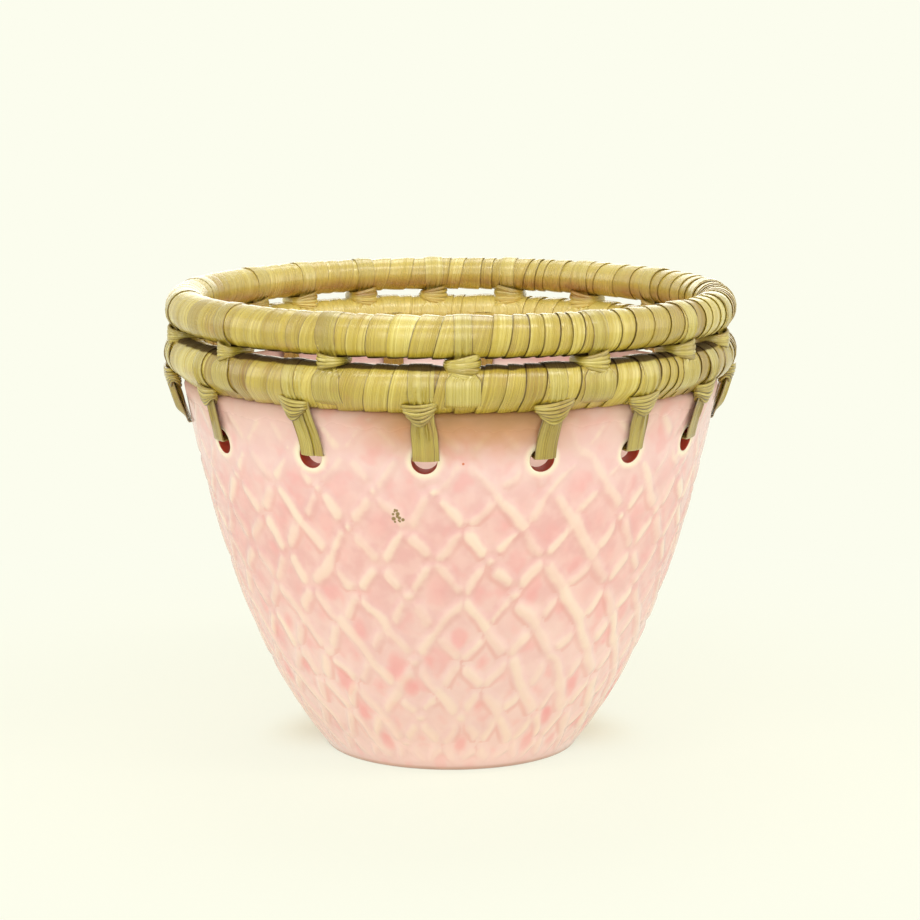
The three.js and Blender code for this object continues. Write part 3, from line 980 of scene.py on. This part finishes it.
def wound_hoop(hoop, seed):
    """One unbroken strip round a hoop. Each turn lies over the edge of the turn before, as shingles do."""
    starts = turn_starts(seed)
    draw = random.Random(seed + 1)
    batch = [draw.random() for _ in range(TURNS // BATCH + 2)]
    single = [draw.random() for _ in range(TURNS + 3)]

    def edge_angle(turn):
        whole = int(turn)
        plain = starts[whole] + (starts[whole + 1] - starts[whole]) * (turn - whole)
        skew = noise.noise(Vector((turn * 0.3, seed, 0))) * SKEW / hoop.radius
        return plain + skew * math.sin(2 * math.pi * turn + HIDDEN_START)

    def put(row, share):
        turn = row / TURN_STEPS
        start = edge_angle(turn)
        width = max(edge_angle(turn + 1) - start, NARROWEST / hoop.radius) / COVERED
        tilt = 2 * math.pi * turn + HIDDEN_START
        lump = noise.noise(Vector((turn * 0.9, share * 2, seed + 5)))
        crown = LEAF_CROWN * math.sin(math.pi * min(share / COVERED, 1)) - LEAF_CROWN * (share < 0.01)
        tube = hoop.tube_at(start) + SHINGLE * (SHINGLE_PIVOT - share) + crown + lump * LEAF_CROWN
        tube += hoop.sunk(tilt) - hoop.pressed(tilt)
        radius = hoop.radius + tube * math.cos(tilt)
        point = around(radius, hoop.height_at(start) + tube * math.sin(tilt), start + share * width)
        across = share * width * hoop.radius / MM
        length = turn * 2 * math.pi * hoop.tube / MM
        tone = 0.55 * batch[int(turn) // BATCH] + 0.45 * single[int(turn)]
        covering = (COVERED - share) * width * hoop.radius / MM
        return point, Vector((across, length, seed + 0.37 * turn)), Vector((across, covering, tone))

    return thickened(laid_strip(TURNS * TURN_STEPS, STRIP_SHARES, put))


for name, hoop, seed in (("lower", lower_hoop, 11), ("upper", upper_hoop, 23)):
    winding = wound_hoop(hoop, seed)
    piece = finished(f"{name}_palm_winding", winding, hoop_palm, "palm_strip", f"{name}_hoop_winding")
    print(piece.name, "has", len(piece.data.polygons), "faces")

# %% [markdown]
# A ring is a small circle spun round an axis. Inside each winding that ring is the cane. It keeps clear
# of the strip, and follows the hoop up and gets slimmer with it towards the back.

# %% Bend the canes
CANE_ROOM = 1.9 * MM
CANE_SIDES = 16
CANE_STEPS = 120


def spun_ring(sides, steps):
    """A ring of the radius 1, spun from a circle of half that radius."""
    bm = bmesh.new()
    circle = bmesh.ops.create_circle(bm, segments=sides, radius=0.5)["verts"]
    for vert in circle:
        vert.co = Vector((1 + vert.co.x, 0, vert.co.y))
    spin(bm, steps)
    return bm


def on_circle(vert):
    """The turn of a ring's point, and how far out and how far up the circle it lies, from -1 to 1."""
    x, y, z = vert.co
    return math.atan2(y, x), 2 * (math.hypot(x, y) - 1), 2 * z


def cane_ring(hoop):
    bm = spun_ring(CANE_SIDES, CANE_STEPS)
    for vert in bm.verts:
        turn, out, up = on_circle(vert)
        reach = hoop.tube_at(turn) - CANE_ROOM
        vert.co = around(hoop.radius + out * reach, hoop.height_at(turn) + up * reach, turn)
    bmesh.ops.recalc_face_normals(bm, faces=bm.faces[:])
    return bm


for name, hoop in (("lower", lower_hoop), ("upper", upper_hoop)):
    finished(f"{name}_cane", cane_ring(hoop), cane, "cane", f"{name}_hoop_core")
print("cane thickness at the front:", round(2 * (upper_hoop.tube - CANE_ROOM) / MM, 1), "mm")

# %% [markdown]
# ## Strips that tie
# A tie is a strip too, but it runs in an upright plane: round both hoops, or over the lower hoop and
# through a hole. Its way is a list of points of radius and height. Arcs carry it round a hoop, and the
# straight parts between are filled in, so that the strip can narrow on its way.

# %% Draw a strip's way
LONGEST_STEP = 0.9 * MM


def arc(hoop, place, proud, start, end, steps=16):
    """Points round a hoop's tube, from one tilt to another in degrees, where 0 looks outwards. The
    place is the angle round the pot, and the points stand proud of the tube by as much as given."""
    points = []
    for step in range(steps + 1):
        tilt = math.radians(start + (end - start) * step / steps)
        reach = hoop.tube_at(place) + proud - hoop.pressed(tilt)
        points.append(Vector((hoop.radius + reach * math.cos(tilt),
                              hoop.height_at(place) + reach * math.sin(tilt))))
    return points


def filled(way):
    """The same way with points no further apart than the longest step."""
    points = [way[0]]
    for before, after in zip(way, way[1:]):
        steps = max(1, math.ceil((after - before).length / LONGEST_STEP))
        points += [before.lerp(after, (step + 1) / steps) for step in range(steps)]
    return points


print("points once round the upper hoop:", len(filled(arc(upper_hoop, 0, 0, 0, 360))))

# %% [markdown]
# A band is a strip laid along such a way. Fine pleats run along it, deep where it is pulled together and
# almost flat elsewhere. It may lie a little to one side, and it may be folded up along its middle.

# %% Lay a strip along its way
neck_top = lower_hoop.height - lower_hoop.tube
BAND_SHARES = [0, 0.04, 0.14, 0.26, 0.38, 0.5, 0.62, 0.74, 0.86, 0.96, 1]
BAND_CROWN = 0.12 * MM
NO_EDGE = 3.0


def nothing_at(point):
    return 0


def band(way, place, width_at, pleats_at, seed, shift_at=nothing_at, fold_at=nothing_at):
    """A strip along a way, at an angle round the pot. Its width, pleats, shift and fold follow the way."""
    points = filled(way)
    lengths = lengths_along(points)

    def put(row, share):
        point = points[row]
        before, after = points[max(row - 1, 0)], points[min(row + 1, len(points) - 1)]
        direction = (after - before).normalized()
        outwards = Vector((direction.y, -direction.x))
        width = width_at(point)
        pleat = math.sin(share * 19 + seed) + 0.5 * math.sin(share * 31 + 2 * seed)
        crown = (BAND_CROWN + fold_at(point)) * (1 - (2 * share - 1) ** 2)
        crown += pleat * pleats_at(point) * BAND_CROWN
        spot = point + outwards * crown
        sideways = (share - 0.5) * width + shift_at(point)
        across = share * width / MM
        edge = min(share, 1 - share) * width / MM
        tone = between(0.2, 0.6, "band", seed) + 0.3 * smooth(point.y, neck_top, neck_top + 2 * MM)
        return (around(spot.x, spot.y, place + sideways / spot.x),
                Vector((across, lengths[row] / MM, seed)), Vector((edge, NO_EDGE, tone)))

    return thickened(laid_strip(len(points) - 1, BAND_SHARES, put))


print("points across a band:", len(BAND_SHARES))

# %% [markdown]
# ## The bound necks
# Between the hoops, and under the lower one, the leaf is wrapped round itself in a few turns and pulled
# tight. From the front that reads as a fan of soft pleats. Each pleat is a ring: a small circle spun
# round the neck, whose points are then sent to the pleat's own oval, flattened and bent into the fan.

# %% Spin one pleat
PLEAT_SIDES = 10
PLEAT_STEPS = 40
A_LITTLE_ON = 0.02


def pleat(course, thick, tall, seed):
    """A ring that follows course(turn), a point as (sideways, outwards, height)."""
    bm = spun_ring(PLEAT_SIDES, PLEAT_STEPS)
    strip_layer, edges_layer = strip_layers(bm)
    for vert in bm.verts:
        turn, thickness, height = on_circle(vert)
        here, ahead = course(turn), course(turn + A_LITTLE_ON)
        forwards = ahead - here
        outwards = Vector((forwards.y, -forwards.x, 0)).normalized()
        vert.co = here + outwards * thickness * thick + Vector((0, 0, height * tall))
        vert[strip_layer] = Vector(((height + 1) * tall / MM, turn * 4, seed))
        vert[edges_layer] = Vector(((1 - abs(height)) * tall / MM, (1 + height) * tall / MM,
                                    between(0.25, 0.9, "pleat", seed)))
    bmesh.ops.recalc_face_normals(bm, faces=bm.faces[:])
    return bm


def at_place(bm, seat, place):
    """Carries a shape from (sideways, outwards, height) round the seat to its place round the pot."""
    for vert in bm.verts:
        sideways, outwards, height = vert.co
        radius = seat.x + outwards
        vert.co = around(radius, seat.y + height, place + sideways / radius)
    bmesh.ops.recalc_face_normals(bm, faces=bm.faces[:])
    return bm


print("faces of one pleat:", PLEAT_SIDES * PLEAT_STEPS)

# %% [markdown]
# ## The ties between the hoops
# Each tie holds the two hoops together: one strip round both, drawn in at the waist by four or five
# pleats. The pleats spread on one side and run together on the other, away from the middle of the pot.

# %% Tie the hoops together
PROUD = 0.30 * MM
TIE_LOWER_WIDTH = 8.6 * MM
TIE_UPPER_WIDTH = 4.8 * MM
TIE_WAIST = 4.2 * MM
WAIST_FADE = (1.2 * MM, 4.6 * MM)
TIE_PLEATS = 1.6
TIE_PLEATS_FADE = (4 * MM, 8 * MM)
# Millimetres by the number of the tie, for those that face the camera. The others are drawn by chance
NECK_WIDTHS = {1: 8.6, 2: 8.2, 3: 8.4, 4: 7.6, 14: 7.0, 15: 5.2, 16: 6.8}
NECK_HEIGHTS = {1: 7.2, 2: 6.6, 3: 6.4, 15: 6.0, 16: 4.4}
NECK_DROPS = {1: 1.1, 2: 0.9, 15: 0.6, 16: 0.3}
NECK_SQUARE = 0.6
NECK_OUT = 0.2 * MM
NECK_DEEP = 4.4 * MM
USUAL_DROP = 0.7
PLEAT_THICK = 0.52 * MM


def own_measure(known, low, high, key, number):
    """The measure that a number is known to have, or one between low and high that stays the same."""
    return known.get(number, between(low, high, key, number)) * MM


def tie(place, number):
    way = arc(lower_hoop, place, PROUD, 200, 415) + arc(upper_hoop, place, PROUD, -55, 235)
    way += arc(lower_hoop, place, PROUD, 125, 206, 6)
    waist = Vector((lower_hoop.radius, HOOP_GAP_HEIGHT + HOOP_GAP_RISE * far_share(place)))
    side = 1 if math.sin(place) >= -0.05 else -1
    neck_wide = own_measure(NECK_WIDTHS, 7.4, 9.6, "neck", number) / 2
    neck_tall = own_measure(NECK_HEIGHTS, 5.6, 7.2, "neck height", number)
    neck_drop = NECK_DROPS.get(number, USUAL_DROP) * MM
    upper_width = between(0.85, 1.15, "upper", number) * TIE_UPPER_WIDTH
    lower_width = between(0.9, 1.08, "lower", number) * TIE_LOWER_WIDTH * (neck_wide / TIE_WAIST) ** 0.5

    def width_at(point):
        away = abs(point.y - waist.y)
        full = upper_width if point.y > waist.y else lower_width
        return TIE_WAIST + (full - TIE_WAIST) * smooth(away, *WAIST_FADE)

    def pleats_at(point):
        return TIE_PLEATS * (1 - smooth(abs(point.y - waist.y), *TIE_PLEATS_FADE))

    parts = [band(way, place, width_at, pleats_at, number)]
    pleats = 4 + (chance("count", number) > 0.5)
    for index in range(pleats):
        level = (index + 0.5) / pleats - 0.5
        bend = between(-0.1, 0.5, "bend", number, index) * MM * (0.3 - level)

        def course(turn):
            sideways = math.sin(turn)
            spread = 0.64 + 0.36 * sideways * side
            wide = neck_wide * (1 - 0.16 * abs(level))
            height = level * neck_tall * spread - bend * (1 - sideways ** 2) - neck_drop
            front = math.copysign(abs(math.cos(turn)) ** NECK_SQUARE, math.cos(turn))
            outwards = NECK_OUT - front * NECK_DEEP * (1.06 - 0.2 * level ** 2)
            return Vector((sideways * wide, outwards, height))

        ring = pleat(course, PLEAT_THICK, 0.52 * neck_tall / pleats, number * 10 + index)
        parts.append(at_place(ring, waist, place))
    return joined(parts)


for number, node in enumerate(tie_nodes, 1):
    finished(f"palm_tie_{number:02d}", tie(middle_angle(node), number), tie_palm, "palm_tie", node)
print("tied", len(tie_nodes), "ties")

# %% [markdown]
# ## The lashings
# A lashing comes over the lower hoop, is bound under it, and runs down through its hole and up inside.
# Its turns sag more and get narrower from the first to the last, so that they close like a small bag. It
# is laid double: a second leaf lies under the first and shows beside it.

# %% Lead a strip through its hole
FOLD = 1.1 * MM
FOLD_RISE = 0.5 * MM
hole_point, hole_out = wall_at(HOLE_SLOPE)
hole_up = Vector((-hole_out.y, hole_out.x))


def lashing_way(place, inset, leaving):
    """Over the lower hoop, down the wall and through the hole, drawn closer to the wall by the inset."""
    out, proud = FOLD - inset, PROUD - inset / 2
    rise = hole_up * FOLD_RISE
    through = [
        hole_point - hole_out * (WALL + out) + rise * 2,
        hole_point - hole_out * (WALL + out * 0.7) + rise,
        hole_point + hole_out * out * 0.7 + rise,
        hole_point + hole_out * out + rise * 2,
    ]
    over = arc(lower_hoop, place, proud, leaving, 172)
    return arc(lower_hoop, place, proud, 176, 210, 4) + through + over


print("the holes' middles lie", round(hole_point.y / MM, 1), "mm up")

# %% [markdown]
# The lashings that face the camera are measured one by one: how wide each is, how far it leans, and how
# its bag hangs. The others draw their measures by chance, the same ones each time.

# %% Lash the lower hoop to the pot
# The tilt, in degrees, at which a lashing leaves the hoop. Here too, known ones go by their number
USUAL_LEAVING = -60
LEAVES_AT = {5: -25, 12: -25}
SIDE_FOLDS = {5: 1.5, 12: 1.8}
LASHING_WIDTHS = {1: 5.6, 2: 5.0, 3: 5.4, 4: 5.2, 13: 4.6, 14: 3.8}
LASHING_NECK = 4.4 * MM
LASHING_NECK_FADE = (1.5 * MM, 5 * MM)
LASHING_PLEATS = 2.2
LASHING_PLEATS_FADE = (5 * MM, 10 * MM)
LASHING_LEANS = {1: -0.6, 2: 1.6, 4: 1.8, 14: -2.2}
UNDER_LEAF = 0.5 * MM
UNDER_NARROWER = 0.9
USUAL_SHIFT = 0.8
UNDER_SHIFTS = {1: 1.3, 2: 1.0, 14: 2.6}
TURNS_BELOW = 6
TURN_THICK = 0.45 * MM
TURN_TALL = 0.54 * MM
BAG_TOP = 0.9 * MM
BAG_DROP = 2.9 * MM
BAG_SAG = 1.7 * MM
BAG_WIDTHS = {1: 4.3, 2: 5.1, 3: 4.8, 4: 4.6, 13: 3.6, 14: 3.9}
BAG_TILTS = {1: 0.3, 2: 1.1, 3: 0.9, 13: -0.8, 14: -0.9}


def lashing(place, number):
    under_hoop = neck_top + lower_hoop.raised * far_share(place)
    neck_middle = under_hoop - BAG_DROP / 2
    lean = own_measure(LASHING_LEANS, -1, 1, "lean", number)
    side = 1 if math.sin(place) >= 0 or number in UNDER_SHIFTS else -1
    wide = own_measure(LASHING_WIDTHS, 4.6, 5.8, "lashing", number)
    top = own_measure(BAG_WIDTHS, 3.8, 5.0, "top", number)
    tilt = own_measure(BAG_TILTS, -0.8, 0.8, "tilt", number)

    def width_at(point):
        near_neck = 1 - smooth(abs(point.y - neck_middle), *LASHING_NECK_FADE)
        return wide - max(wide - LASHING_NECK, 0) * near_neck * 0.8

    def pleats_at(point):
        return LASHING_PLEATS * (1 - smooth(abs(point.y - neck_middle), *LASHING_PLEATS_FADE))

    def shift_at(point):
        return lean * smooth(point.y, hole_point.y + 2 * MM, under_hoop)

    def under_shift(point):
        return shift_at(point) + UNDER_SHIFTS.get(number, USUAL_SHIFT) * MM * side

    def fold_at(point):
        hanging = smooth(point.y, hole_point.y + 1 * MM, hole_point.y + 5 * MM)
        hanging *= 1 - smooth(point.y, under_hoop - 1 * MM, under_hoop + 1 * MM)
        return SIDE_FOLDS.get(number, 0) * MM * hanging

    def under_width(point):
        return width_at(point) * UNDER_NARROWER

    leaving = LEAVES_AT.get(number, USUAL_LEAVING)
    way, under_way = lashing_way(place, 0, leaving), lashing_way(place, UNDER_LEAF, leaving)
    parts = [
        band(way, place, width_at, pleats_at, number + 40, shift_at, fold_at),
        band(under_way, place, under_width, pleats_at, number + 60, under_shift),
    ]
    strand = arc(lower_hoop, place, PROUD, leaving, leaving, 1)[0]
    fold = hole_point + hole_out * FOLD
    seat = fold.lerp(strand, (under_hoop - fold.y) / (strand.y - fold.y))
    slope = (strand.x - fold.x) / (strand.y - fold.y)
    for index in range(TURNS_BELOW):
        share = index / (TURNS_BELOW - 1)
        across = top * (1 - 0.36 * share ** 1.3) * between(0.95, 1.05, "across", number, index)
        drop = BAG_DROP * (share + between(-0.05, 0.05, "drop", number, index)) - BAG_TOP
        sag = 0.4 * MM + BAG_SAG * share
        deep = (1.25 + 0.45 * math.sin(math.pi * share)) * MM
        turn_tilt = tilt * (1 - 0.5 * share) + between(-0.25, 0.25, "turn tilt", number, index) * MM

        def course(turn):
            sideways = math.sin(turn)
            height = turn_tilt * sideways - drop - sag * (1 - sideways ** 2)
            return Vector((sideways * across + lean, slope * height - math.cos(turn) * deep, height))

        ring = pleat(course, TURN_THICK, TURN_TALL, number * 10 + index + 500)
        parts.append(at_place(ring, seat, place))
    return joined(parts)


for number, node in enumerate(lashing_nodes, 1):
    shape = lashing(middle_angle(node), number)
    finished(f"palm_lashing_{number:02d}", shape, lashing_palm, "palm_tie", node)
print("lashed", len(lashing_nodes), "lashings")

# %% [markdown]
# ## The floor and the light
# The pot stands on a pale sheet that runs on without an edge. The sheet near the pot is painted and
# takes its shadow, most of all beside and behind the foot. Further out it glows by itself in the colour
# of the background, which the world has too, so no horizon shows. The glow is seen by the camera and in
# reflections but lights nothing.

# %% Roll out the sheet
BACKGROUND = rgb(252, 253, 238)
GLOW_FROM = 0.28
GLOW_NEAR = 0.78
SHADE = 0.45
SHADE_REACH = (0.036, 0.056)
SHEET_SIZE = 6


def glow_share(finish):
    """1 for rays that look at the background straight or in a reflection."""
    path = finish.node("LightPath")
    seen = [Wire(finish, path.socket.node.outputs[name])
            for name in ("Is Camera Ray", "Is Glossy Ray", "Is Transmission Ray")]
    return finish.node("Math", {0: seen[0] + seen[1] + seen[2], 1: 1.0}, operation="MINIMUM")


sheet = bmesh.new()
bmesh.ops.create_grid(sheet, x_segments=1, y_segments=1, size=SHEET_SIZE)
sheet_mesh = bpy.data.meshes.new("sheet")
sheet.to_mesh(sheet_mesh)
sheet.free()
floor = bpy.data.objects.new("sheet", sheet_mesh)
scene.collection.objects.link(floor)
paper = Finish("sheet", Roughness=0.9, Specular_IOR_Level=0.0)
paper.paint(Base_Color=rgb(246, 247, 220))
distance = paper.place().distance()
behind = paper.place().parts()[1].step(-0.020, 0.012) * distance.fall(*SHADE_REACH)
share = distance.step(0.08, GLOW_FROM) * (1 - GLOW_NEAR) + GLOW_NEAR - behind * SHADE
glow = paper.node("Emission", {"Color": BACKGROUND, "Strength": 1.0})
painted = Wire(paper, paper.shader.outputs[0])
mixed = paper.node("MixShader", {0: share * glow_share(paper), 1: painted, 2: glow})
paper.feed(paper.tree.nodes["Material Output"].inputs["Surface"], mixed)
sheet_mesh.materials.append(paper.material)
print("the sheet glows fully from", GLOW_FROM, "m out")

# %% [markdown]
# A wide, shallow lamp high above the front draws the soft highlight along the hoops. The other lamps only
# fill: from low in front, from both sides, and from behind, where the far rim is as bright as the near one.

# %% Light the studio
POT_MIDDLE = Vector((0, 0, 0.06))
SOFT_COLOUR, SOFT_LIGHT = (1.0, 0.99, 0.96, 1), 0.36
LAMP_COLOUR = (1.0, 0.985, 0.95)


class Surroundings(Finish):
    """The world, with the same nodes as a finish."""

    def __init__(self):
        self.world = bpy.data.worlds.new("studio")
        self.world.use_nodes = True
        self.tree = self.world.node_tree


studio = Surroundings()
scene.world = studio.world
studio.tree.nodes.clear()
soft = studio.node("Background", {"Color": SOFT_COLOUR, "Strength": SOFT_LIGHT})
seen = studio.node("Background", {"Color": BACKGROUND, "Strength": 1.0})
world_mix = studio.node("MixShader", {0: glow_share(studio), 1: soft, 2: seen})
output = studio.tree.nodes.new("ShaderNodeOutputWorld")
studio.feed(output.inputs["Surface"], world_mix)


def panel(name, place, wide, tall, power):
    """A flat lamp of that width and height that looks at the pot."""
    data = bpy.data.lights.new(name, "AREA")
    data.shape = "RECTANGLE"
    data.size, data.size_y = wide, tall
    data.energy = power
    data.color = LAMP_COLOUR
    lamp = bpy.data.objects.new(name, data)
    lamp.location = place
    lamp.rotation_euler = (POT_MIDDLE - Vector(place)).to_track_quat("-Z", "Y").to_euler()
    scene.collection.objects.link(lamp)


for lamp in (
    ("key", (0.12, -0.60, 1.14), 1.6, 0.20, 7.2),
    ("front_fill", (0.0, -1.0, 0.42), 0.7, 0.4, 1.7),
    ("left_side", (-1.1, -0.25, 0.45), 0.8, 0.8, 3.5),
    ("right_side", (1.1, -0.20, 0.45), 0.8, 0.8, 3.2),
    ("low_fill", (0.0, -1.0, 0.14), 0.6, 0.6, 1.2),
    ("back_top", (0.0, 0.5, 1.1), 0.6, 0.6, 3.6),
    ("back_fill", (0.0, 1.1, 0.30), 0.8, 0.5, 2.2),
):
    panel(*lamp)
